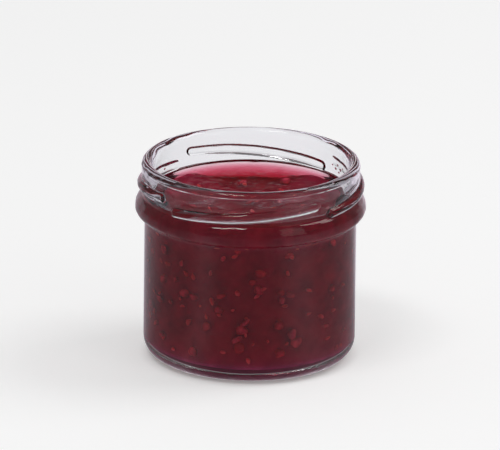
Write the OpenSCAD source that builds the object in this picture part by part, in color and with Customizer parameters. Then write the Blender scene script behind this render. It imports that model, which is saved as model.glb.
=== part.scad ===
// Low wide-mouth jar of clear glass with a four-lug twist-off finish, filled with jam.
// The jar stands on Z = 0 with its axis on Z, and the middle of one lug faces -Y.

/* [Overall] */
// Height of the jar from the table to the rim
jar_h = 58.4; // [50:0.1:90]
// Outside diameter of the straight body
body_d = 61.1; // [50:0.1:80]

/* [Body glass] */
// Thickness of the body wall
wall = 2.4; // [1.8:0.1:3.5]
// Height of the inside floor over the table
floor_h = 3.6; // [2.8:0.1:8]
// Radius of the outside corner at the heel
heel_r = 5.6; // [3:0.1:8]
// Radius of the inside corner round the floor
well_r = 6.5; // [3:0.1:9]
// Width of the flat ring that the jar stands on
ring_w = 1.4; // [0.8:0.1:3]
// Rise of the hollow under the base
push_up = 1.2; // [0.8:0.1:3]

/* [Neck and rim] */
// How far the neck stands out from the body
neck_step = 0.95; // [0.3:0.05:1.5]
// Thickness of the neck wall, which the rim rounds off
neck_wall = 3.3; // [2.5:0.1:4.5]

/* [Bead under the lugs] */
// How far the bead stands out from the body
bead_step = 2.7; // [2:0.1:3.5]
// Distance from the rim down to the widest line of the bead
bead_drop = 13.8; // [12:0.1:18]
// Radius of the rounding above the widest line
bead_top_r = 5; // [4:0.1:7]
// Radius of the rounding below the widest line
bead_low_r = 2.6; // [2:0.1:3.2]
// Radius of the fillet between the bead and the body
bead_fillet_r = 1.7; // [0.8:0.1:3]

/* [Lugs] */
// Number of lugs round the neck
lug_n = 4; // [3:1:4]
// Distance from the rim down to the middle of a lug
lug_drop = 7.2; // [6:0.1:9]
// How far a lug stands out from the neck
lug_step = 1.5; // [1:0.1:1.9]
// Radius of a lug's section
lug_r = 1.6; // [1.3:0.1:2]
// Slope of a lug, rising to the right as seen from outside
lug_lead = 4.4; // [2:0.1:6]
// Angle from the middle of a lug back to where it stands out most
lug_peak = 15; // [0:1:20]
// Sweep from there down to the blunt start
lug_start = 34; // [24:1:38]
// Sweep from there up to where the lug has run out
lug_end = 66; // [55:1:70]
// How far the lug's arc is set off from the axis, which sinks its end into the neck
lug_run_out = 2.8; // [2:0.1:4]

/* [Jam] */
// Depth of the jam's surface below the rim
headspace = 10; // [7:0.1:16]
// Clearance between the jam and the glass
jam_gap = 0.1; // [0.05:0.05:0.3]
// How far the jam climbs at the wall
climb_h = 0.5; // [0.2:0.1:1]
// Width of the strip in which it climbs
climb_w = 2.2; // [1:0.1:4]

/* [Hidden] */

// segments in each quarter round of an outline
arc_n = 10;
// steps in each soft curve of an outline
curve_n = 8;
// how far a cutting shape runs past the face that it cuts
over = 1;

body_r = body_d / 2;
neck_r = body_r + neck_step;
mouth_r = neck_r - neck_wall;
rim_r = neck_wall / 2;
bead_r = body_r + bead_step;
bead_z = jar_h - bead_drop;
well_wall_r = body_r - wall;
jam_z = jar_h - headspace;

// The inside eases from the body's bore to the mouth's bore across the bead.
ease_low = bead_z - bead_low_r - bead_fillet_r;
ease_high = bead_z + bead_low_r;

// Where the bead's top rounding meets the neck, as an angle on that rounding.
bead_top_a = acos(1 - (bead_r - neck_r) / bead_top_r);

// The fillet touches the body and the bead's lower rounding.
bead_low_x = bead_r - bead_low_r;
fillet_x = body_r + bead_fillet_r;
fillet_a = acos((fillet_x - bead_low_x) / (bead_low_r + bead_fillet_r));
fillet_z = bead_z - (bead_low_r + bead_fillet_r) * sin(fillet_a);

// Points along an arc in the X-Z plane, from one angle to another.
function arc(x, z, r, from, to) =
    [for (i = [0:arc_n]) let (a = from + (to - from) * i / arc_n) [x + r * cos(a), z + r * sin(a)]];

// Radius of the inside wall at a height above the floor's corner.
function bore_r(z) =
    let (t = min(1, max(0, (z - ease_low) / (ease_high - ease_low))))
    well_wall_r + (mouth_r - well_wall_r) * (1 - cos(180 * t)) / 2;

// The inside of the glass from the middle of the floor up to a height, drawn in by a gap.
function well(top, gap) = concat(
    [[0, floor_h + gap]],
    arc(well_wall_r - well_r, floor_h + well_r, well_r - gap, -90, 0),
    [for (i = [0:curve_n])
        let (z = ease_low + (ease_high - ease_low) * i / curve_n)
        if (z < top - gap) [bore_r(z) - gap, z]],
    [[bore_r(top) - gap, top]]
);

// The outside of the glass, from the axis round the heel and up to the crown of the rim.
outside = concat(
    [[0, 0]],
    arc(body_r - heel_r, heel_r, heel_r, -90, 0),
    arc(fillet_x, fillet_z, bead_fillet_r, 180, 180 - fillet_a),
    arc(bead_low_x, bead_z, bead_low_r, -fillet_a, 0),
    arc(bead_r - bead_top_r, bead_z, bead_top_r, 0, bead_top_a),
    arc(neck_r - rim_r, jar_h - rim_r, rim_r, 0, 90),
    [[0, jar_h]]
);

// The hollow of the glass, with the rounded inner half of the rim.
hollow = concat(
    well(jar_h - rim_r, 0),
    arc(mouth_r + rim_r, jar_h - rim_r, rim_r, 180, 90),
    [[mouth_r + rim_r, jar_h + over], [0, jar_h + over]]
);

// The shallow dome under the base, inside the ring that the jar stands on.
dome_x = body_r - heel_r - ring_w;
dome_sphere_r = (dome_x * dome_x + push_up * push_up) / (2 * push_up);

// The jam's surface from the wall to the axis, climbing a little at the glass.
jam_top = [for (i = [1:curve_n])
    let (t = 1 - i / curve_n)
    [bore_r(jam_z) - jam_gap - climb_w * (1 - t), jam_z + climb_h * t * t]];

// One lug with its middle on +X. Its arc is set off from the axis, so the lug stands out most
// near its blunt start and sinks into the neck at its upper end.
module lug() {
    translate([0, 0, jar_h - lug_drop]) rotate([lug_lead, 0, 0]) rotate([0, 0, -lug_peak])
        translate([lug_run_out, 0, 0]) rotate([0, 0, -lug_start])
            rotate_extrude(angle = lug_start + lug_end, $fn = 96)
                translate([neck_r + lug_step - lug_r - lug_run_out, 0]) circle(lug_r, $fn = 32);
}

// The jar: heel, straight body, bead, neck with its lugs, and rounded rim.
module jar_glass() {
    color([0.84, 0.87, 0.89], 0.4) difference() {
        union() {
            rotate_extrude($fn = 180) polygon(outside);
            for (i = [0:lug_n - 1]) rotate([0, 0, -90 + i * 360 / lug_n]) lug();
        }
        rotate_extrude($fn = 180) polygon(hollow);
        intersection() {
            translate([0, 0, push_up - dome_sphere_r]) sphere(dome_sphere_r, $fn = 180);
            translate([0, 0, -over]) cylinder(h = push_up + 2 * over, r = dome_x, $fn = 180);
        }
    }
}

// The jam: it fills the jar up to its surface.
module jam() {
    color([0.45, 0.05, 0.09]) rotate_extrude($fn = 180) polygon(concat(
        well(jam_z + climb_h, jam_gap),
        jam_top,
        [[0, jam_z]]
    ));
}

jar_glass();
jam();
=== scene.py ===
"""Low jar of clear flint glass with a four-lug twist neck, filled with seeded red berry jam.

The glass, the jam, the seeds, the pulp and the smears above the jam are surfaces worked out in
the row's frame: metres, +Z up, the jar standing on Z = 0 and its front towards -Y.
"""

import logging
import math
from collections.abc import Callable
from dataclasses import dataclass
from enum import Enum
from functools import partial

import bpy
import numpy as np
from mathutils import Matrix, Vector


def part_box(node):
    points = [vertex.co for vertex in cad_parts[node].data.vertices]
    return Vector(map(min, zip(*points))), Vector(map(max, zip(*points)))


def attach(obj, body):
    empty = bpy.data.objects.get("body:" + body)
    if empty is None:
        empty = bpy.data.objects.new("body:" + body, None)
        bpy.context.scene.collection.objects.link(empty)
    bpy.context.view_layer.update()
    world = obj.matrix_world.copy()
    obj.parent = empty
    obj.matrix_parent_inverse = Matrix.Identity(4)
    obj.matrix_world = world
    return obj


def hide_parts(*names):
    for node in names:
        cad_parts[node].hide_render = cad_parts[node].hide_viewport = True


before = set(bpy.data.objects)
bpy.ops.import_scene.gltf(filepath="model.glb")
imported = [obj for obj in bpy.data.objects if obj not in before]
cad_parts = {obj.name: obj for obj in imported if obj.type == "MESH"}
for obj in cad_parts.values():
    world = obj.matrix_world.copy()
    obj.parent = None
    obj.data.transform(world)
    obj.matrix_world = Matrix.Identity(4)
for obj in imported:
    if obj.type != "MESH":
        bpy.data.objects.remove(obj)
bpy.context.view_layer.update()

LOG = logging.getLogger("jam_jar")
MM = 0.001  # metres in a millimetre; the shapes are worked out in millimetres
TAU = 2 * math.pi
RIPPLE_WAVES = 14
RIPPLE_SPAN = (0.7, 1.5)  # the waves' lengths in a ripple, as shares of its wavelength
RIPPLE_PEAK = 1.4  # brings a ripple to about -1 to 1

Array = np.ndarray
Pair = tuple[float, float]
Triple = tuple[float, float, float]


# ---- Shared helpers ----


def linear(hex_colour: str) -> tuple[float, float, float, float]:
    """Turn an sRGB hex colour into a linear colour with alpha 1.

    Args:
        hex_colour: Six hex digits after a hash sign.

    Returns:
        Linear red, green and blue from 0 to 1, and alpha 1.
    """
    parts = [int(hex_colour[i : i + 2], 16) / 255 for i in (1, 3, 5)]
    red, green, blue = [p / 12.92 if p <= 0.04045 else ((p + 0.055) / 1.055) ** 2.4 for p in parts]
    return red, green, blue, 1.0


def arc(x: float, z: float, radius: float, start: float, end: float, steps: int) -> Array:
    """Points along an arc in the radius-height plane: centre plus radius times (cos, sin).

    Args:
        x: Centre's distance from the axis.
        z: Centre's height.
        radius: Radius of the arc.
        start: First angle in degrees.
        end: Last angle in degrees.
        steps: Number of steps, one fewer than the points.

    Returns:
        Array of (radius, height) rows.
    """
    angle = np.radians(np.linspace(start, end, steps + 1))
    return np.column_stack([x + radius * np.cos(angle), z + radius * np.sin(angle)])


def line(start: Pair, end: Pair, steps: int) -> Array:
    """Evenly spaced points on a straight line, without its two ends.

    Args:
        start: (radius, height) where the line begins.
        end: (radius, height) where it ends.
        steps: Number of equal steps.

    Returns:
        Array of the (radius, height) rows between the ends.
    """
    share = np.linspace(0, 1, steps + 1)[1:-1, None]
    return np.array(start) + share * (np.array(end) - np.array(start))


def ripple(points: Array, wavelength: float, seed: int) -> Array:
    """Smooth uneven relief: the sum of plane sine waves with random directions and phases.

    Args:
        points: Array whose last axis is a position.
        wavelength: Distance between crests, in the points' own unit.
        seed: Seed of the directions and phases.

    Returns:
        Values of about -1 to 1, one for each position.
    """
    draw = np.random.default_rng(seed)
    direction = draw.normal(size=(points.shape[-1], RIPPLE_WAVES))
    direction /= np.linalg.norm(direction, axis=0)
    pace = TAU / (wavelength * draw.uniform(*RIPPLE_SPAN, RIPPLE_WAVES))
    phase = draw.uniform(0, TAU, RIPPLE_WAVES)
    waves = np.sin(points @ (direction * pace) + phase)
    return waves.sum(axis=-1) / math.sqrt(RIPPLE_WAVES) / RIPPLE_PEAK


def ripples(points: Array, waves: tuple[Pair, ...], seed: int) -> Array:
    """Sum of ripples, each given by its share and its wavelength, and each with the next seed."""
    return sum(share * ripple(points, length, seed + i) for i, (share, length) in enumerate(waves))


def smooth_step(value: Array, low: float, high: float) -> Array:
    """Ease from 0 at low to 1 at high, level at both ends: 3t^2 - 2t^3."""
    t = np.clip((value - low) / (high - low), 0, 1)
    return t * t * (3 - 2 * t)


def turns(columns: int) -> Array:
    """Angles in radians of evenly spaced columns, anticlockwise from +X."""
    return TAU * np.arange(columns) / columns


def cylindrical(radius: Array, turn: Array, height: Array) -> Array:
    """Positions (..., 3) from distances to the axis, angles and heights, which broadcast."""
    radius, turn, height = np.broadcast_arrays(radius, turn, height)
    return np.stack([radius * np.cos(turn), radius * np.sin(turn), height], axis=-1)


def swept(outline: Array, columns: int) -> tuple[Array, Array]:
    """Radii and heights, each (rings, columns), of an outline of (radius, height) rows swept round."""
    radius, height = np.repeat(outline.T[:, :, None], columns, axis=2)
    return radius, height


def add_mesh(name: str, vertices: Array, faces: list[Array]) -> bpy.types.Object:
    """Put vertices in millimetres and faces into a new smooth-shaded object at the origin.

    Args:
        name: Name of the piece.
        vertices: Array of (x, y, z) rows in millimetres.
        faces: Arrays of vertex numbers, one row a face, each array with one face size.

    Returns:
        The new object, linked to the scene.
    """
    mesh = bpy.data.meshes.new(name)
    sizes = np.concatenate([np.full(len(f), f.shape[1]) for f in faces])
    corners = np.concatenate([f.ravel() for f in faces]).astype(np.int32)
    starts = np.concatenate([[0], np.cumsum(sizes)[:-1]]).astype(np.int32)
    mesh.vertices.add(len(vertices))
    mesh.vertices.foreach_set("co", (vertices * MM).astype(np.float32).ravel())
    mesh.loops.add(len(corners))
    mesh.loops.foreach_set("vertex_index", corners)
    mesh.polygons.add(len(sizes))
    mesh.polygons.foreach_set("loop_start", starts)
    mesh.polygons.foreach_set("use_smooth", np.ones(len(sizes), bool))
    mesh.update(calc_edges=True)
    mesh.validate()
    piece = bpy.data.objects.new(name, mesh)
    bpy.context.scene.collection.objects.link(piece)
    return piece


def turned_faces(rows: int, columns: int) -> list[Array]:
    """Faces of a closed turned surface: rings of vertices between two single pole vertices.

    The vertices are the first pole, then the rings in order, then the last pole. Each ring has
    the same number of vertices, anticlockwise seen from above.

    Args:
        rows: Number of rings.
        columns: Number of vertices in a ring.

    Returns:
        Quads between neighbouring rings, and the triangles round the two poles.
    """
    ring = np.arange(columns)
    following = (ring + 1) % columns
    base = 1 + np.arange(rows - 1)[:, None] * columns
    above = base + columns
    quads = np.stack([base + ring, base + following, above + following, above + ring], axis=-1)
    last_ring = 1 + (rows - 1) * columns
    last_pole = last_ring + columns
    first = np.column_stack([np.zeros(columns, int), 1 + following, 1 + ring])
    last = np.column_stack([np.full(columns, last_pole), last_ring + ring, last_ring + following])
    return [quads.reshape(-1, 4), first, last]


def turned_mesh(name: str, radius: Array, height: Array) -> bpy.types.Object:
    """Build a closed turned surface from ring radii and heights, which may vary round each ring.

    Args:
        name: Name of the piece.
        radius: Array (rings, columns) of distances from the axis.
        height: Array (rings, columns) of heights.

    Returns:
        The new object. Its poles lie on the axis at the mean height of the end rings.
    """
    rings = cylindrical(radius, turns(radius.shape[1]), height)
    first = [[0, 0, height[0].mean()]]
    last = [[0, 0, height[-1].mean()]]
    vertices = np.concatenate([first, rings.reshape(-1, 3), last])
    return add_mesh(name, vertices, turned_faces(*radius.shape))


def scattered_mesh(
    name: str, shape: Array, faces: list[Array], frames: Array, places: Array
) -> bpy.types.Object:
    """Join many copies of one small shape, each turned and stretched by its own 3 x 3 matrix.

    Args:
        name: Name of the joined piece.
        shape: Array (copies, points, 3) of the small shape's points before turning.
        faces: Faces of one copy.
        frames: Array (copies, 3, 3) whose rows are the copy's own axes.
        places: Array (copies, 3) of centres.

    Returns:
        The new object.
    """
    copies, points = shape.shape[:2]
    vertices = np.einsum("cpk,ckj->cpj", shape, frames) + places[:, None]
    offset = (np.arange(copies) * points)[:, None, None]
    joined = [(f[None] + offset).reshape(-1, f.shape[1]) for f in faces]
    return add_mesh(name, vertices.reshape(-1, 3), joined)


def random_frames(draw: np.random.Generator, count: int) -> Array:
    """Evenly random rotations, from unit quaternions.

    Args:
        draw: Source of random numbers.
        count: Number of rotations.

    Returns:
        Array (count, 3, 3).
    """
    q = draw.normal(size=(count, 4))
    w, x, y, z = (q / np.linalg.norm(q, axis=1, keepdims=True)).T
    rows = [
        [1 - 2 * (y * y + z * z), 2 * (x * y - w * z), 2 * (x * z + w * y)],
        [2 * (x * y + w * z), 1 - 2 * (x * x + z * z), 2 * (y * z - w * x)],
        [2 * (x * z - w * y), 2 * (y * z + w * x), 1 - 2 * (x * x + y * y)],
    ]
    return np.transpose(np.array(rows), (2, 0, 1))


def spread(draw: np.random.Generator, places: Array, gap: float, count: int) -> Array:
    """Drop each place that lies closer than a gap to an earlier one, dropped or not.

    Args:
        draw: Source of random numbers, which shuffles the places first.
        places: Candidate places.
        gap: Least distance between two places.
        count: Most places to keep.

    Returns:
        The places that are kept.
    """
    places = places[draw.permutation(len(places))]
    apart = np.linalg.norm(places[:, None] - places[None], axis=-1)
    earlier = np.tri(len(places), k=-1, dtype=bool)
    keep = ~((apart < gap) & earlier).any(axis=1)
    return places[keep][:count]


def ball(rings: int, columns: int) -> tuple[Array, list[Array]]:
    """A unit ball as a closed turned surface.

    Args:
        rings: Rings between the poles.
        columns: Vertices in each ring.

    Returns:
        The points and the faces.
    """
    fall = np.pi * (np.arange(rings) + 1)[:, None] / (rings + 1)
    ring = cylindrical(np.sin(fall), turns(columns), -np.cos(fall))
    points = np.concatenate([[[0, 0, -1]], ring.reshape(-1, 3), [[0, 0, 1]]])
    return points, turned_faces(rings, columns)


# ---- Finishes ----

Tree = bpy.types.NodeTree
Node = bpy.types.Node
Socket = bpy.types.NodeSocket
Adder = Callable[..., Node]


def add_node(
    tree: Tree, kind: str, links: dict[str | int, Socket | Node] | None = None, to: Socket | None = None,
    **settings: object,
) -> Node:
    """Add a node, set its inputs or properties, and link it to other nodes.

    Args:
        tree: Node tree that takes the node.
        kind: The node's type name without its leading ShaderNode.
        links: What feeds the node, by input name or number: a socket, or a node's first output.
        to: An input of another node, which this node's first output feeds.
        **settings: Values by input name, with spaces written as underscores, or by property name.

    Returns:
        The new node.
    """
    node = tree.nodes.new("ShaderNode" + kind)
    for name, value in settings.items():
        if hasattr(node, name):
            setattr(node, name, value)
        else:
            node.inputs[name.replace("_", " ")].default_value = value
    for name, source in (links or {}).items():
        socket = source.outputs[0] if isinstance(source, Node) else source
        tree.links.new(socket, node.inputs[name])
    if to is not None:
        tree.links.new(node.outputs[0], to)
    return node


def new_material(name: str) -> tuple[bpy.types.Material, Adder, Socket]:
    """Start an empty node material; give what adds its nodes, and the socket that takes its surface."""
    material = bpy.data.materials.new(name)
    material.use_nodes = True
    tree = material.node_tree
    tree.nodes.clear()
    output = add_node(tree, "OutputMaterial")
    return material, partial(add_node, tree), output.inputs["Surface"]


def in_millimetres(add: Adder) -> Node:
    """Object coordinates scaled to millimetres, so that pattern scales are real sizes."""
    place = add("TexCoord")
    return add("Mapping", {"Vector": place.outputs["Object"]}, Scale=(1 / MM,) * 3)


def set_stops(ramp: bpy.types.ColorRamp, stops: list[tuple[float, tuple[float, ...]]]) -> None:
    """Replace a new colour ramp's two stops, at 0 and 1, by others that lie between them.

    Args:
        ramp: The colour ramp.
        stops: Each stop's place from 0 to 1 and its linear colour.
    """
    for place, colour in stops:
        ramp.elements.new(place).color = colour
    ramp.elements.remove(ramp.elements[0])
    ramp.elements.remove(ramp.elements[-1])


@dataclass(frozen=True)
class FlintGlass:
    """Clear soda-lime glass, blown in a mould and fire-polished.

    The fire-polish leaves it quite smooth, with a slow waviness that bends reflections a little.
    """

    ior: float = 1.5
    tint: str = "#F8F8FC"
    wave_mm: float = 9.0
    wave_depth_mm: float = 0.02

    def make(self) -> bpy.types.Material:
        """Build the material of the bare glass."""
        material, add, surface = new_material("flint_glass_fire_polished")
        wave = add("TexNoise", {"Vector": in_millimetres(add)}, Scale=1 / self.wave_mm, Detail=1.0)
        bump = add("Bump", {"Height": wave}, Strength=1.0, Distance=self.wave_depth_mm * MM)
        add(
            "BsdfPrincipled", {"Normal": bump}, surface, Base_Color=linear(self.tint), Roughness=0.0,
            IOR=self.ior, Transmission_Weight=1.0,
        )
        return material


@dataclass(frozen=True)
class WettedGlass:
    """The inside of the glass where jam wets it: no air lies between, so it neither shines nor bends."""

    tint: str = "#FFFFFF"
    ior: float = 1.0

    def make(self) -> bpy.types.Material:
        """Build the material of the wetted glass."""
        material, add, surface = new_material("flint_glass_wetted_by_jam")
        add(
            "BsdfPrincipled", to=surface, Base_Color=linear(self.tint), Roughness=0.0, IOR=self.ior,
            Transmission_Weight=1.0,
        )
        return material


@dataclass(frozen=True)
class BerryJelly:
    """The clear set syrup of the jam: sugar, pectin and juice, boiled and poured hot.

    It soaks up green and blue light within a few millimetres and lets red through, so thin edges
    are pink and depths are a dark wine red. Its skin is smooth and wet. The density is a little
    above the strongest loss, so that the colour of the absorption stays above zero.
    """

    tint: str = "#FFFFFF"
    ior: float = 1.1
    roughness: float = 0.03
    loss_per_m: Triple = (65.0, 320.0, 250.0)
    headroom: float = 1.1

    def make(self) -> bpy.types.Material:
        """Build the jelly with its absorption, whose colour is what one depth unit lets through."""
        material, add, surface = new_material("berry_jelly_set")
        add(
            "BsdfPrincipled", to=surface, Base_Color=linear(self.tint), Roughness=self.roughness,
            IOR=self.ior, Transmission_Weight=1.0,
        )
        density = self.headroom * max(self.loss_per_m)
        kept = [1 - loss / density for loss in self.loss_per_m]
        volume = surface.node.inputs["Volume"]
        add("VolumeAbsorption", to=volume, Color=(*kept, 1.0), Density=density)
        return material


@dataclass(frozen=True)
class FruitFlesh:
    """Cooked berry flesh: soft, cloudy cells that scatter a deep red, uneven from cell to cell."""

    name: str = "cooked_berry_flesh"
    dark: str = "#A02A5A"
    light: str = "#BE3E6C"
    dark_at: float = 0.35
    light_at: float = 0.7
    patch_mm: float = 5.0
    roughness: float = 0.5

    def make(self) -> bpy.types.Material:
        """Build the flesh, with patches of two reds at the size of a berry's cells."""
        material, add, surface = new_material(self.name)
        patch = add("TexNoise", {"Vector": in_millimetres(add)}, Scale=1 / self.patch_mm, Detail=3.0)
        tone = add("ValToRGB", {"Fac": patch})
        stops = [(self.dark_at, linear(self.dark)), (self.light_at, linear(self.light))]
        set_stops(tone.color_ramp, stops)
        add(
            "BsdfPrincipled", {"Base Color": tone}, surface, Roughness=self.roughness, IOR=1.4,
            Specular_IOR_Level=0.0,
        )
        return material


@dataclass(frozen=True)
class SeedCoat:
    """Woody seed coat of a berry pip, steeped to a rosy red in the jam and pitted like a peach stone."""

    pale: str = "#FC6E74"
    warm: str = "#D44860"
    warm_at: float = 0.4
    pale_at: float = 0.68
    change_mm: float = 4.0
    pit_mm: float = 0.35
    pit_depth_mm: float = 0.05
    roughness: float = 0.45
    scatter_mm: float = 0.6
    scatter_rgb: Triple = (1.0, 0.6, 0.5)

    def make(self) -> bpy.types.Material:
        """Build the seed coat: a slow change of tone from pip to pip, and pits in each."""
        material, add, surface = new_material("pip_coat_pitted")
        place = in_millimetres(add)
        change = add("TexNoise", {"Vector": place}, Scale=1 / self.change_mm, Detail=1.0)
        tone = add("ValToRGB", {"Fac": change})
        stops = [(self.warm_at, linear(self.warm)), (self.pale_at, linear(self.pale))]
        set_stops(tone.color_ramp, stops)
        pits = add("TexVoronoi", {"Vector": place}, Scale=1 / self.pit_mm)
        bump = add("Bump", {"Height": pits}, Strength=1.0, Distance=self.pit_depth_mm * MM)
        add(
            "BsdfPrincipled", {"Base Color": tone, "Normal": bump}, surface, Roughness=self.roughness,
            IOR=1.4, Subsurface_Weight=1.0, Subsurface_Scale=self.scatter_mm * MM,
            Subsurface_Radius=self.scatter_rgb,
        )
        return material


@dataclass(frozen=True)
class SeamlessPaper:
    """Matt white background paper with a faint grain of fibres.

    It also glows a little, a painted fill light that lifts the shadows on it, and glows less close
    round the foot, a painted contact shade. What polished glass mirrors of it is a painted
    reflection, toned down and set by the angle round the jar, from the front towards +X, and
    brighter close round the foot. Seen through the glass, the paper close round the foot shows
    painted light: the deep red of shade and of light that has passed the jam. Each effect fades out
    between the two radii of its pair, in millimetres.
    """

    tone: str = "#E9E9E9"
    roughness: float = 0.9
    grain_mm: float = 1.2
    grain_depth_mm: float = 0.01
    grain_strength: float = 0.05
    # strength of the paper's own glow, a painted fill light that lifts its shadows
    through: float = 0.4
    # weaker glow close round the foot, a painted contact shade, and the radii over which it fades
    glow_in_foot_shade: float = 0.22
    foot_shade_r: Pair = (27.0, 32.0)
    # painted reflection close round the foot: how much brighter it is, and the radii over which that fades
    painted_reflection_at_foot: float = 2.4
    foot_r: Pair = (26.0, 29.0)
    # painted light seen through glass round the foot: its dark red, and the radii over which it fades
    painted_red_light: str = "#5A222C"
    painted_red_light_r: Pair = (40.0, 46.0)
    # painted reflection: its tint, and its level at angles in degrees round the jar
    painted_reflection_rgb: Triple = (1.0, 0.93, 1.03)
    painted_reflection_levels: tuple[Pair, ...] = (
        (-160, 0.7), (-140, 0.45), (-115, 0.42), (-95, 0.3), (-60, 0.32), (-50, 0.5), (-40, 0.55),
        (-30, 0.31), (0, 0.28), (26, 0.31), (40, 0.55), (56, 0.6), (68, 0.4), (95, 0.36), (128, 0.36),
        (142, 0.6), (160, 1.0),
    )

    def make(self) -> bpy.types.Material:
        """Build the paper: its plain look with a painted fill light, its painted reflection, and painted red
        light through glass.
        """
        material, add, surface = new_material("seamless_paper_matt")
        place = in_millimetres(add)
        grain = add("TexNoise", {"Vector": place}, Scale=1 / self.grain_mm, Detail=2.0)
        depth = self.grain_depth_mm * MM
        bump = add("Bump", {"Height": grain}, Strength=self.grain_strength, Distance=depth)
        matt = add(
            "BsdfPrincipled", {"Normal": bump}, Base_Color=linear(self.tone), Roughness=self.roughness,
            Specular_IOR_Level=0.0,
        )
        away = add("VectorMath", {"Vector": place}, operation="LENGTH").outputs["Value"]
        # the paper's glow, a painted fill light, weaker close round the foot as a painted contact shade
        bare = add(
            "MapRange", {"Value": away}, From_Min=self.foot_shade_r[0], From_Max=self.foot_shade_r[1],
            To_Min=self.glow_in_foot_shade, To_Max=self.through,
        )
        painted_fill_glow = add("Emission", {"Strength": bare}, Color=linear(self.tone))
        plain = add("AddShader", {0: matt, 1: painted_fill_glow})

        # painted reflection: what glass mirrors of the paper, set by the angle round the jar and brighter
        # close round the foot
        round_jar = add("TexGradient", {"Vector": place}, gradient_type="RADIAL")
        seen = add("ValToRGB", {"Fac": round_jar.outputs["Fac"]})
        seen.color_ramp.interpolation = "B_SPLINE"
        stops = [
            (((angle - 90.0) / 360.0 + 0.5) % 1.0, (*(level * part for part in self.painted_reflection_rgb), 1.0))
            for angle, level in self.painted_reflection_levels
        ]
        set_stops(seen.color_ramp, stops)
        close = add(
            "MapRange", {"Value": away}, From_Min=self.foot_r[0], From_Max=self.foot_r[1],
            To_Min=self.painted_reflection_at_foot, To_Max=1.0,
        )
        glow = add("Emission", {"Color": seen, "Strength": close})

        ray = add("LightPath").outputs
        in_mirror = add(
            "Math", {0: ray["Glossy Depth"], 1: ray["Diffuse Depth"]}, operation="SUBTRACT", use_clamp=True,
        )
        both = add("MixShader", {"Fac": in_mirror, 1: plain, 2: glow})
        # painted red light: through glass, the paper close round the foot shows the dark red of shade and of
        # light that has passed the jam
        depths = {"Value": ray["Diffuse Depth"], "To Min": ray["Transmission Depth"]}
        in_glass = add("MapRange", depths, To_Max=0.0)
        painted_red_light_mask = add(
            "MapRange", {"Value": away, "To Min": in_glass}, From_Min=self.painted_red_light_r[0],
            From_Max=self.painted_red_light_r[1], To_Max=0.0,
        )
        painted_red_light = add("Emission", Color=linear(self.painted_red_light), Strength=1.0)
        add("MixShader", {"Fac": painted_red_light_mask, 1: both, 2: painted_red_light}, surface)
        return material


# ---- The glass jar ----


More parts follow.
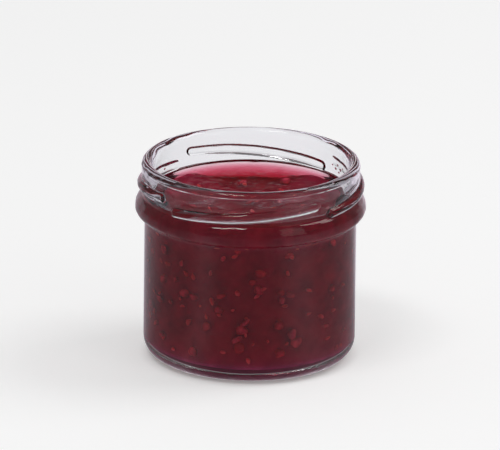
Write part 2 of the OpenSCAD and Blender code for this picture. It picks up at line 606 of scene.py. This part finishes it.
@dataclass
class GlassJar:
    """The jar in one piece of glass: hollow base, heel, body, bead, lugs, rim and inside.

    All sizes are in millimetres. The overall ones come from the frame. The outside is a little
    wavy above the body and at the heel, and stippled under the base's ring. A ring field is the
    first ring next to the axis, as a share of the flat's radius.
    """

    height: float
    bead_r: float
    wall: float = 2.4
    floor_h: float = 3.6
    heel_r: float = 5.6
    well_r: float = 6.5
    ring_w: float = 1.4
    push_up: float = 1.2
    bead_step: float = 2.7
    bead_drop: float = 13.8
    bead_top_r: float = 5.0
    bead_low_r: float = 2.6
    fillet_r: float = 1.7
    neck_step: float = 0.95
    neck_wall: float = 3.3
    lug_n: int = 4
    lug_drop: float = 7.2
    lug_step: float = 1.5
    lug_r: float = 1.6
    lug_lead: float = 4.4
    lug_peak: float = 15.0
    lug_start: float = 34.0
    lug_end: float = 54.0
    lug_hold: float = 42.0
    lug_run_out: float = 2.8
    foot_fillet: float = 0.3
    wave_length: float = 5.0
    wave_depth: float = 0.07
    wave_upright: float = 1.6
    wave_ease: float = 5.0
    wave_r: Pair = (29.0, 31.0)
    heel_wave: float = 1.5
    heel_wave_z: Pair = (1.2, 3.6)
    heel_wave_in: float = 0.5
    seam_rise: float = 1.8
    seam_step: float = 0.1
    stipple_length: float = 1.6
    stipple_depth: float = 0.25
    stipple_peak: float = 1.4
    stipple_out: float = 0.6
    stipple_w: float = 1.1
    stipple_top: float = 1.2
    base_ring: float = 0.04
    floor_ring: float = 0.03
    columns: int = 480
    neck_rows: int = 58
    seed: int = 3

    @property
    def body_r(self) -> float:
        """Outside radius of the straight body."""
        return self.bead_r - self.bead_step

    @property
    def neck_r(self) -> float:
        """Outside radius of the neck."""
        return self.body_r + self.neck_step

    @property
    def mouth_r(self) -> float:
        """Inside radius of the neck."""
        return self.neck_r - self.neck_wall

    @property
    def bore_low_r(self) -> float:
        """Inside radius of the body."""
        return self.body_r - self.wall

    @property
    def bead_z(self) -> float:
        """Height of the bead's widest line."""
        return self.height - self.bead_drop

    @property
    def corner_r(self) -> float:
        """Radius at which the flat floor inside meets the rounded corner."""
        return self.bore_low_r - self.well_r

    @property
    def corner_z(self) -> float:
        """Height at which the rounded corner inside meets the straight bore."""
        return self.floor_h + self.well_r

    def bore_r(self, z: Array) -> Array:
        """Inside radius at a height: the body's bore eases to the mouth's bore across the bead."""
        low = self.bead_z - self.bead_low_r - self.fillet_r
        high = self.bead_z + self.bead_low_r
        t = np.clip((z - low) / (high - low), 0, 1)
        return self.bore_low_r + (self.mouth_r - self.bore_low_r) * (1 - np.cos(np.pi * t)) / 2

    def outside(self) -> Array:
        """Outline of the outside, from near the middle of the base up to the crown of the rim.

        Returns:
            Array of (radius, height) rows: the shallow dome under the base as the chord's circle,
            the ring, the heel, the body, the fillet, the two roundings of the bead, the neck, and
            the outer half of the rim.
        """
        dome_x = self.body_r - self.heel_r - self.ring_w
        sphere_r = (dome_x**2 + self.push_up**2) / (2 * self.push_up)
        dome_r = np.linspace(self.base_ring, 1, 10) * dome_x
        dome = np.column_stack([dome_r, self.push_up - sphere_r + np.sqrt(sphere_r**2 - dome_r**2)])
        ring = line((dome_x, 0), (self.body_r - self.heel_r, 0), 4)
        heel = arc(self.body_r - self.heel_r, self.heel_r, self.heel_r, -90, 0, 16)
        low_x = self.bead_r - self.bead_low_r
        reach = self.bead_low_r + self.fillet_r
        fillet_x = self.body_r + self.fillet_r
        fillet_a = math.degrees(math.acos((fillet_x - low_x) / reach))
        fillet_z = self.bead_z - reach * math.sin(math.radians(fillet_a))
        fillet = arc(fillet_x, fillet_z, self.fillet_r, 180, 180 - fillet_a, 7)
        body = line((self.body_r, self.heel_r), (self.body_r, fillet_z), 12)
        low = arc(low_x, self.bead_z, self.bead_low_r, -fillet_a, 0, 9)[1:]
        top_a = math.degrees(math.acos(1 - (self.bead_r - self.neck_r) / self.bead_top_r))
        top = arc(self.bead_r - self.bead_top_r, self.bead_z, self.bead_top_r, 0, top_a, 14)[1:]
        rim_r = self.neck_wall / 2
        neck = line((self.neck_r, top[-1, 1]), (self.neck_r, self.height - rim_r), self.neck_rows)
        rim = arc(self.neck_r - rim_r, self.height - rim_r, rim_r, 0, 90, 9)
        return np.vstack([dome, ring, heel, body, fillet, low, top, neck, rim])

    def inside(self) -> Array:
        """Outline of the inside, from the crown of the rim down to near the middle of the floor.

        Returns:
            Array of (radius, height) rows: the inner half of the rim, the bore, the rounded
            corner and the floor.
        """
        rim_r = self.neck_wall / 2
        rim = arc(self.mouth_r + rim_r, self.height - rim_r, rim_r, 90, 180, 9)[1:]
        z = np.linspace(self.height - rim_r, self.corner_z, 34)[1:-1]
        bore = np.column_stack([self.bore_r(z), z])
        corner = arc(self.corner_r, self.corner_z, self.well_r, 0, -90, 12)
        floor_r = np.linspace(1, self.floor_ring, 7)[1:] * self.corner_r
        floor = np.column_stack([floor_r, np.full(len(floor_r), self.floor_h)])
        return np.vstack([rim, bore, corner, floor])

    def lug_reach(self, turn: Array, z: Array) -> Array:
        """Radius that the lugs reach, or 0 where there is none.

        A lug's middle line is a circle set off from the jar's axis, in a plane tilted about the
        line through the lug's middle, so it sinks into the neck on its way to the run-out. The
        section is round, and its radius shrinks as a quarter circle at the two ends.

        Args:
            turn: Angles round the axis in radians, anticlockwise from +X.
            z: Heights, which broadcast against the angles.

        Returns:
            Radii in the broadcast shape.
        """
        off = self.lug_run_out
        line_r = self.neck_r + self.lug_step - self.lug_r - off
        start_a = math.radians(self.lug_start)
        start = math.atan2(line_r * math.sin(start_a), off + line_r * math.cos(start_a))
        end = math.radians(self.lug_end)
        peak = math.radians(self.lug_peak)
        reach = np.zeros(np.broadcast(turn, z).shape)
        for i in range(self.lug_n):
            middle = -math.pi / 2 + i * TAU / self.lug_n
            away = (turn - middle + math.pi) % TAU - math.pi
            along = away + peak
            held = np.minimum(along, math.radians(self.lug_hold))
            centre_r = off * np.cos(held) + np.sqrt(line_r**2 - (off * np.sin(held)) ** 2)
            climb = centre_r * np.sin(away) * math.tan(math.radians(self.lug_lead))
            centre_z = self.height - self.lug_drop + climb
            from_end = np.minimum(along + start, end - along) * centre_r / self.lug_r
            section = self.lug_r * np.sqrt(np.clip(1 - np.clip(1 - from_end, 0, 1) ** 2, 0, 1))
            half = section**2 - (z - centre_z) ** 2
            on_lug = (from_end > 0) & (half > 0)
            reach = np.where(on_lug, np.maximum(reach, centre_r + np.sqrt(np.maximum(half, 0))), reach)
        return reach

    def work_outside(self, r: Array, z: Array) -> None:
        """Add the mould seam, the lugs, the waviness and the base's marks to the outside, in place.

        Args:
            r: Array (rings, columns) of the outside's radii.
            z: Array (rings, columns) of the outside's heights.
        """
        turn = turns(self.columns)
        above_seam = (z > self.bead_z + self.seam_rise) & (z < self.height - self.neck_wall / 2)
        r -= self.seam_step * above_seam
        lug = self.lug_reach(turn[None], z)
        blend = 0.5 * (r + lug + np.sqrt((r - lug) ** 2 + self.foot_fillet**2))
        blend = np.maximum(r, blend - self.foot_fillet / 2)
        r[:] = np.where(lug > 0, blend, r)

        place = cylindrical(r, turn, z)
        finish = smooth_step(z, self.bead_z - self.wave_ease, self.bead_z) * smooth_step(r, *self.wave_r)
        upright = place * [1, 1, self.wave_upright]
        r += self.wave_depth * ripple(upright, self.wave_length, self.seed) * finish

        low, high = self.heel_wave_z
        heel = smooth_step(-z, -high, -low) * (r > self.body_r - self.heel_r + self.heel_wave_in)
        coarse = self.stipple_length * self.heel_wave
        r += self.wave_depth * ripple(place, coarse, self.seed + 1) * heel
        mark = 0.5 + 0.5 * ripple(place * [1, 1, 0], self.stipple_length, self.seed + 2)
        ring_mid = self.body_r - self.heel_r - self.ring_w / 2
        from_ring = (r - ring_mid - self.stipple_out) / self.stipple_w
        near_ring = np.exp(-(from_ring**2)) * (z < self.stipple_top)
        z += self.stipple_depth * np.clip(mark, 0, self.stipple_peak) * near_ring

    def build(self, jam_z: float) -> bpy.types.Object:
        """Build the glass and dress it: bare glass, and wetted glass below the jam's surface.

        Args:
            jam_z: Height at which the jam meets the wall.

        Returns:
            The glass piece.
        """
        outside, inside = self.outside(), self.inside()
        radius, height = swept(np.vstack([outside, inside]), self.columns)
        self.work_outside(radius[: len(outside)], height[: len(outside)])
        piece = turned_mesh("jar_glass_piece", radius, height)
        for finish in (FlintGlass(), WettedGlass()):
            piece.data.materials.append(finish.make())
        wet = np.concatenate([np.zeros(len(outside), bool), inside[:, 1] < jam_z])
        quads_wet = np.repeat(wet[:-1] & wet[1:], self.columns)
        slots = np.concatenate([quads_wet, np.zeros(self.columns, bool), np.ones(self.columns, bool)])
        piece.data.polygons.foreach_set("material_index", slots.astype(np.int32))
        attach(piece, "root")
        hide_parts("jar_glass")
        return piece


# ---- The jam and what is in it ----


@dataclass
class JamFill:
    """The jam in the jar: clear jelly, a cloudy heart of flesh, loose bits of flesh, and pips.

    All sizes are in millimetres. A waves field holds each ripple's share and wavelength. An outline
    of the heart holds its edge's depth below the surface, its middle's depth, and how far it flares
    under the bead. A turn field holds sines of the angle from +X, between which outlines blend.
    """

    jar: GlassJar
    level: float
    into_wall: float = 0.12
    climb_h: float = 0.5
    climb_w: float = 2.2
    relief: float = 0.16
    relief_waves: tuple[Pair, ...] = ((0.7, 11.0), (0.3, 3.2))
    calm_w: Pair = (6.0, 1.5)
    columns: int = 288
    surface_rings: int = 76
    surface_crowd: float = 1.15
    heart_gap: float = 4.2
    heart_foot: float = -0.16
    heart_sag: float = 1.3
    heart_ring: float = 0.05
    heart_lip: float = 24.0
    heart_lip_h: float = 2.0
    heart_back: Triple = (7.0, 3.4, 0.6)
    heart_flank: Triple = (3.2, 3.0, 3.1)
    heart_front: Triple = (5.4, 3.8, 1.2)
    heart_back_turn: Pair = (0.7, 1.0)
    heart_flank_turn: Pair = (0.0, 0.3)
    heart_flare: Pair = (14.0, 6.0)
    heart_edge_r: float = 2.0
    heart_edge_turn: float = 60.0
    heart_crown_r: float = 11.0
    heart_crown_in: float = 0.5
    heart_relief: float = 0.5
    heart_waves: tuple[Pair, ...] = ((0.65, 6.0), (0.35, 2.4))
    heart_uneven_h: float = 8.0
    heart_columns: int = 200
    pip_n: int = 140
    pip_gap: float = 2.2
    pip_shell: Pair = (1.7, 2.6)
    pip_size: Triple = (1.15, 0.68, 0.5)
    pip_scale: Pair = (0.65, 1.2)
    pip_point: float = 0.35
    pip_slim: float = 0.1
    pip_bend: float = 0.22
    bit_n: int = 66
    bit_size: float = 1.35
    bit_gap: float = 2.3
    bit_shell: Pair = (2.2, 2.0)
    bit_stretch: Pair = (0.5, 1.25)
    bit_lump: float = 0.22
    bit_lump_length: float = 1.7
    bit_apart: float = 3.1
    candidates: int = 1500
    clear_top: float = 5.5
    clear_foot: float = 1.2
    top_part: int = 12
    top_r: float = 0.76
    top_margin: float = 0.6
    top_depth: float = 0.3
    seed: int = 11

    def surface_z(self, x: Array, y: Array) -> Array:
        """Height of the jam's surface: level, uneven in the middle, and climbing at the glass.

        Args:
            x: Places along X.
            y: Places along Y.

        Returns:
            Heights at those places.
        """
        r = np.hypot(x, y)
        wall = float(self.jar.bore_r(np.array(self.level)))
        climb = np.clip((r - (wall - self.climb_w)) / self.climb_w, 0, 1) ** 2
        uneven = ripples(np.stack([x, y], axis=-1), self.relief_waves, self.seed)
        calm = 1 - smooth_step(r, *(wall - w for w in self.calm_w))
        return self.level + self.climb_h * climb + self.relief * uneven * calm

    def build_jelly(self) -> bpy.types.Object:
        """Build the clear jelly, which fills the glass and reaches just into its wall.

        The outline is the inside of the glass moved outwards by a small overlap, up to where the
        jam climbs at the wall, and then the surface from the wall to the axis.

        Returns:
            The jelly piece.
        """
        jar, over = self.jar, self.into_wall
        floor_r = np.linspace(jar.floor_ring, 1, 8)[:-1] * jar.corner_r
        floor = np.column_stack([floor_r, np.full(len(floor_r), jar.floor_h - over)])
        corner = arc(jar.corner_r, jar.corner_z, jar.well_r + over, -90, 0, 12)
        z = np.linspace(jar.corner_z, self.level + self.climb_h, 30)[1:]
        bore = np.column_stack([jar.bore_r(z) + over, z])
        radius, height = swept(np.vstack([floor, corner, bore]), self.columns)
        share = 1 - np.linspace(0, 1, self.surface_rings)[1:-1] ** self.surface_crowd
        surface_r = np.repeat(bore[-1, 0] * share[:, None], self.columns, axis=1)
        turn = turns(self.columns)
        surface = self.surface_z(surface_r * np.cos(turn), surface_r * np.sin(turn))
        piece = turned_mesh("jam_jelly", np.vstack([radius, surface_r]), np.vstack([height, surface]))
        piece.data.materials.append(BerryJelly().make())
        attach(piece, "root")
        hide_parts("jam")
        return piece

    def build_heart(self) -> bpy.types.Object:
        """Build the cloudy heart of cooked flesh, some millimetres inside the glass.

        It is a turned drum whose foot follows the glass's corner and sags a little into the base,
        so that no light slips through under the jam. Round the axis it blends between three
        outlines. At the back it slopes down towards the wall, where the jelly above it is clear; at
        the flanks and the front it is full to the edge. Two sizes of ripple push its surface in
        and out.

        Returns:
            The heart piece.
        """
        jar, turn = self.jar, turns(self.heart_columns)
        wide = jar.bore_low_r - self.heart_gap
        low_z = jar.corner_z + self.heart_lip_h
        foot_r = np.linspace(self.heart_ring, 1, 12)[:-1] * jar.corner_r
        sag = self.heart_sag * (1 - (foot_r / jar.corner_r) ** 2)
        foot = np.column_stack([foot_r, jar.floor_h + self.heart_foot - sag])
        bend = jar.well_r - self.heart_foot
        corner = arc(jar.corner_r, jar.corner_z, bend, -90, -90 + self.heart_lip, 12)
        low_side = line(tuple(corner[-1]), (wide, low_z), 6)
        flare_z = [self.level - below for below in self.heart_flare]
        outlines = []
        for edge_depth, depth, flare in (self.heart_back, self.heart_flank, self.heart_front):
            edge_z, crown_z = self.level - edge_depth, self.level - depth
            side = line((wide, low_z), (wide, edge_z), 44)
            side[:, 0] += flare * smooth_step(side[:, 1], *flare_z)
            edge_r = wide + flare - self.heart_edge_r
            edge = arc(edge_r, edge_z, self.heart_edge_r, 0, self.heart_edge_turn, 6)
            slope = line(tuple(edge[-1]), (self.heart_crown_r, crown_z), 18)
            crown_r = np.linspace(self.heart_crown_r, self.heart_crown_in, 12)
            crown = np.column_stack([crown_r, np.full(len(crown_r), crown_z)])
            outlines.append(np.vstack([foot, corner, low_side, side, edge, slope, crown]))
        back = smooth_step(np.sin(turn), *self.heart_back_turn)
        flank = smooth_step(np.sin(turn), *self.heart_flank_turn) * (1 - back)
        share = np.stack([back, flank, 1 - back - flank])
        radius, height = np.einsum("ork,oc->krc", np.stack(outlines), share)
        push = self.heart_relief * ripples(cylindrical(radius, turn, height), self.heart_waves, self.seed + 2)
        out = radius / wide
        radius = radius + push * out * (height > jar.corner_z)
        height = height + push * (1 - out) * (height > jar.bead_z - self.heart_uneven_h)
        piece = turned_mesh("jam_heart", radius, height)
        piece.data.materials.append(FruitFlesh().make())
        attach(piece, "root")
        return piece

    def places_in_shell(self, draw: np.random.Generator, margin: float, depth: float) -> Array:
        """Random places in the jelly near the glass and, fewer of them, near the surface.

        Args:
            draw: Source of random numbers.
            margin: Least distance from the glass; the surface keeps a part of it.
            depth: How far in from the glass they reach; a part of it below the surface.

        Returns:
            Array of (x, y, z) rows.
        """
        jar, count = self.jar, self.candidates
        turn = draw.uniform(0, TAU, count)
        z = draw.uniform(jar.floor_h + self.clear_foot, self.level - self.clear_top, count)
        down = np.clip(jar.corner_z - z, 0, jar.well_r)
        corner = np.sqrt(np.clip(jar.well_r**2 - down**2, 0, None))
        wall = np.where(z < jar.corner_z, jar.corner_r + corner, jar.bore_r(z))
        near_wall = cylindrical(wall - margin - draw.uniform(0, 1, count) * depth, turn, z)
        few = count // self.top_part
        turn = draw.uniform(0, TAU, few)
        r = self.top_r * jar.mouth_r * np.sqrt(draw.uniform(0, 1, few))
        x, y = r * np.cos(turn), r * np.sin(turn)
        under = self.top_margin * margin + self.top_depth * depth * draw.uniform(0, 1, few)
        near_top = np.column_stack([x, y, self.surface_z(x, y) - under])
        return np.concatenate([near_wall, near_top])

    def build_pips(self) -> bpy.types.Object:
        """Build the pips: small drops, pointed at one end and a little bent, strewn in the jelly.

        One pip is a ball stretched along X whose width falls towards one end, bent along a
        parabola. Each copy has a random size and is turned at random.

        Returns:
            The piece of joined pips.
        """
        draw = np.random.default_rng(self.seed + 4)
        near = self.places_in_shell(draw, *self.pip_shell)
        places = spread(draw, near, self.pip_gap, self.pip_n)
        points, faces = ball(5, 8)
        along = points[:, :1]
        slim = 1 - self.pip_point * along - self.pip_slim * along**2
        shape = np.hstack([along, points[:, 1:] * slim]) * self.pip_size
        shape[:, 1] += self.pip_bend * (shape[:, 0] / self.pip_size[0]) ** 2
        shapes = shape * draw.uniform(*self.pip_scale, (len(places), 1, 1))
        piece = scattered_mesh("jam_pips", shapes, faces, random_frames(draw, len(places)), places)
        piece.data.materials.append(SeedCoat().make())
        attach(piece, "root")
        return piece

    def build_bits(self) -> bpy.types.Object:
        """Build the loose bits of flesh: lumpy balls, stretched at random, strewn in the jelly.

        Returns:
            The piece of joined bits.
        """
        draw = np.random.default_rng(self.seed + 5)
        near = self.places_in_shell(draw, *self.bit_shell)
        places = spread(draw, near, self.bit_gap, self.bit_n)
        points, faces = ball(8, 12)
        stretch = draw.uniform(*self.bit_stretch, (len(places), 1, 3)) * self.bit_size
        apart = points[None] + places[:, None] * self.bit_apart
        lump = 1 + self.bit_lump * ripple(apart, self.bit_lump_length, self.seed + 6)[..., None]
        shapes = points[None] * stretch * lump
        piece = scattered_mesh("jam_flesh_bits", shapes, faces, random_frames(draw, len(places)), places)
        loose = FruitFlesh("cooked_berry_flesh_loose", dark="#B83450", light="#E45468", patch_mm=2.0)
        piece.data.materials.append(loose.make())
        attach(piece, "root")
        return piece


@dataclass
class Smears:
    """Drops and dabs of jam left on the inside of the neck.

    All sizes are in millimetres. Each place is an angle in degrees from +X, a height, and the
    smear's half width and half height.
    """

    jar: GlassJar
    places: tuple[tuple[float, ...], ...] = (
        (24.0, 51.6, 0.7, 0.4), (27.5, 52.6, 0.35, 0.3), (30.0, 51.2, 0.5, 0.35),
        (20.5, 52.4, 0.3, 0.3), (33.5, 52.0, 0.3, 0.25), (26.0, 50.6, 0.4, 0.3),
        (152.0, 50.8, 0.45, 0.3), (146.0, 51.6, 0.3, 0.25), (214.0, 51.0, 0.6, 0.4),
        (318.0, 50.8, 0.6, 0.3), (312.0, 51.8, 0.35, 0.3), (306.0, 50.9, 0.4, 0.3),
    )
    sunk: float = 0.1
    thick: float = 0.2
    apart: float = 5.0
    lump: float = 0.25
    lump_length: float = 1.6
    seed: int = 31

    def build(self) -> bpy.types.Object:
        """Build the smears: flat lumpy balls, half sunk in the wall, at set angles and heights.

        Each ball's own axes are along the wall, up the wall and away from the jar's axis.

        Returns:
            The piece of joined smears.
        """
        turn, z, wide, tall = np.array(self.places).T
        turn = np.radians(turn)
        points, faces = ball(10, 18)
        size = np.column_stack([wide, tall, np.full(len(wide), self.thick)])[:, None]
        apart = points[None] + self.apart * np.arange(len(wide))[:, None, None]
        lump = 1 + self.lump * ripple(apart, self.lump_length, self.seed)[..., None]
        along, outward = (cylindrical(1.0, turn + quarter, 0.0) for quarter in (TAU / 4, 0.0))
        up = np.tile([0.0, 0.0, 1.0], (len(turn), 1))
        frames = np.stack([along, up, outward], axis=1)
        places = cylindrical(self.jar.mouth_r + self.sunk, turn, z)
        piece = scattered_mesh("jam_smears", points[None] * size * lump, faces, frames, places)
        film = FruitFlesh("jam_film_on_glass", dark="#B05868", light="#D8939C", patch_mm=0.8)
        piece.data.materials.append(film.make())
        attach(piece, "root")
        return piece


# ---- The studio ----


class Side(Enum):
    """Which way a light panel stands from the jar, as an angle from the front towards +X."""

    RIGHT = 104.0
    FRONT_RIGHT = 48.0
    FRONT_LEFT = -35.0


@dataclass(frozen=True)
class Panel:
    """A soft light panel that faces the jar. Lengths are in metres."""

    name: str
    side: Side
    rise: float
    away: float
    width: float
    height: float
    radiance: float

    def place(self, target: Array) -> None:
        """Put the panel at its angle and rise, facing the target.

        Args:
            target: The point that it faces.
        """
        turn, rise = math.radians(self.side.value), math.radians(self.rise)
        way = np.array([math.sin(turn) * math.cos(rise), -math.cos(turn) * math.cos(rise), math.sin(rise)])
        data = bpy.data.lights.new(self.name, "AREA")
        data.shape = "RECTANGLE"
        data.size = self.width
        data.size_y = self.height
        data.energy = self.radiance * math.pi * self.width * self.height
        light = bpy.data.objects.new(self.name, data)
        bpy.context.scene.collection.objects.link(light)
        aim(light, target, way, self.away)


def aim(
    thing: bpy.types.Object, target: Array, back: Array, away: float, roll: float = 0.0, rise: float = 0.0
) -> None:
    """Put a camera or light at a distance from a target so that it looks along minus back.

    Args:
        thing: Camera or light.
        target: What it looks at.
        back: Unit direction from the target to the thing.
        away: Distance from the target.
        roll: Turn about its own axis in radians, anticlockwise as it looks.
        rise: Shift upwards in its own view after it is aimed.
    """
    right = np.cross([0, 0, 1], back)
    right /= np.linalg.norm(right)
    up = np.cross(back, right)
    turned_right = right * math.cos(roll) + up * math.sin(roll)
    turned_up = up * math.cos(roll) - right * math.sin(roll)
    place = target + back * away + turned_up * rise
    matrix = np.eye(4)
    matrix[:3] = np.column_stack([turned_right, turned_up, back, place])
    thing.matrix_world = Matrix(matrix.tolist())


@dataclass
class Studio:
    """Plain paper floor, soft panels, a dim room and the camera.

    Lengths are in metres, except those whose names end in mm.
    """

    centre: Array
    panels: list[Panel]
    elevation: float = 18.7
    distance: float = 3.33
    view_width: float = 0.1442
    view_rise: float = 0.0088
    roll: float = 0.68
    room: float = 0.42
    room_mirrored: float = 0.2
    # the room as seen through glass: painted red light in place of light that has passed the jam
    room_in_glass: str = "#542A32"
    floor_half_mm: float = 2500.0
    floor_flat_mm: float = 1500.0
    floor_curl_mm: float = 1600.0
    floor_points: int = 61

    def build_floor(self) -> None:
        """Build the floor: a flat square grid round the jar, whose far edge curves up.

        The height is zero up to the flat part's end, and rises as a slow parabola beyond.
        """
        side = np.linspace(-self.floor_half_mm, self.floor_half_mm, self.floor_points)
        x, y = np.meshgrid(side, side, indexing="ij")
        z = np.clip(y - self.floor_flat_mm, 0, None) ** 2 / self.floor_curl_mm
        vertices = np.stack([x, y, z], axis=-1).reshape(-1, 3)
        n = len(side)
        first = (np.arange(n - 1)[:, None] * n + np.arange(n - 1)).ravel()
        quads = np.column_stack([first, first + n, first + n + 1, first + 1])
        floor = add_mesh("studio_floor", vertices, [quads])
        floor.data.materials.append(SeamlessPaper().make())

    def build_lights(self) -> None:
        """Place the panels and the dim room light.

        The room has one brightness in plain view and for the floor, and a lower one in mirror
        images. Rays that have passed through glass see it in the dark red of the jam instead, a
        painted red light in place of the room.
        """
        for panel in self.panels:
            panel.place(self.centre)
        world = bpy.data.worlds.new("studio_room")
        bpy.context.scene.world = world
        world.use_nodes = True
        tree = world.node_tree
        add = partial(add_node, tree)
        ray = add("LightPath").outputs
        open_view = add("Math", {0: ray["Is Camera Ray"], 1: ray["Diffuse Depth"]}, operation="MAXIMUM")
        level = add("MapRange", {"Value": open_view}, To_Min=self.room_mirrored, To_Max=self.room)
        in_air = add("Math", {0: open_view, 1: ray["Glossy Depth"]}, operation="MAXIMUM", use_clamp=True)
        walls = tree.nodes["Background"]
        walls.inputs["Color"].default_value = linear("#FFFFFF")
        tree.links.new(level.outputs["Result"], walls.inputs["Strength"])
        # painted red light: the room seen through glass in the dark red of the jam
        in_glass = add("Background", Color=linear(self.room_in_glass), Strength=1.0)
        surface = tree.nodes["World Output"].inputs["Surface"]
        add("MixShader", {"Fac": in_air, 1: in_glass, 2: walls}, surface)

    def build_camera(self) -> None:
        """Place a long-lens camera a little above the jar, looking down on it."""
        data = bpy.data.cameras.new("studio_camera")
        data.sensor_width = 36.0
        data.lens = data.sensor_width * self.distance / self.view_width
        data.clip_end = 20.0
        camera = bpy.data.objects.new("studio_camera", data)
        bpy.context.scene.collection.objects.link(camera)
        rise = math.radians(self.elevation)
        back = np.array([0, -math.cos(rise), math.sin(rise)])
        aim(camera, self.centre, back, self.distance, math.radians(self.roll), self.view_rise)
        bpy.context.scene.camera = camera


def main() -> None:
    """Build the jar, the jam and the studio."""
    logging.basicConfig(level=logging.INFO, format="%(message)s")
    low, high = (np.array(c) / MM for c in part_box("jar_glass"))
    jam_z = float(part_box("jam")[1][2]) / MM
    jar = GlassJar(height=float(high[2]), bead_r=float(high[0] - low[0]) / 2)
    jam = JamFill(jar, jam_z - JamFill.climb_h)
    fill = (jam.build_jelly, jam.build_heart, jam.build_pips, jam.build_bits, Smears(jar).build)
    for piece in (jar.build(jam_z), *(build() for build in fill)):
        LOG.info("%s: %d faces", piece.name, len(piece.data.polygons))

    panels = [
        Panel("key_panel", Side.RIGHT, 48, 1.4, 0.7, 0.7, 2.9),
        Panel("glint_panel", Side.FRONT_LEFT, 62, 1.2, 0.5, 0.22, 7.0),
        Panel("fill_panel", Side.FRONT_RIGHT, 30, 1.6, 0.6, 1.2, 0.5),
    ]
    studio = Studio(np.array([0, 0, jar.height / 2 * MM]), panels)
    studio.build_floor()
    studio.build_lights()
    studio.build_camera()
    bpy.context.scene.view_settings.view_transform = "Standard"


if __name__ == "__main__":
    main()
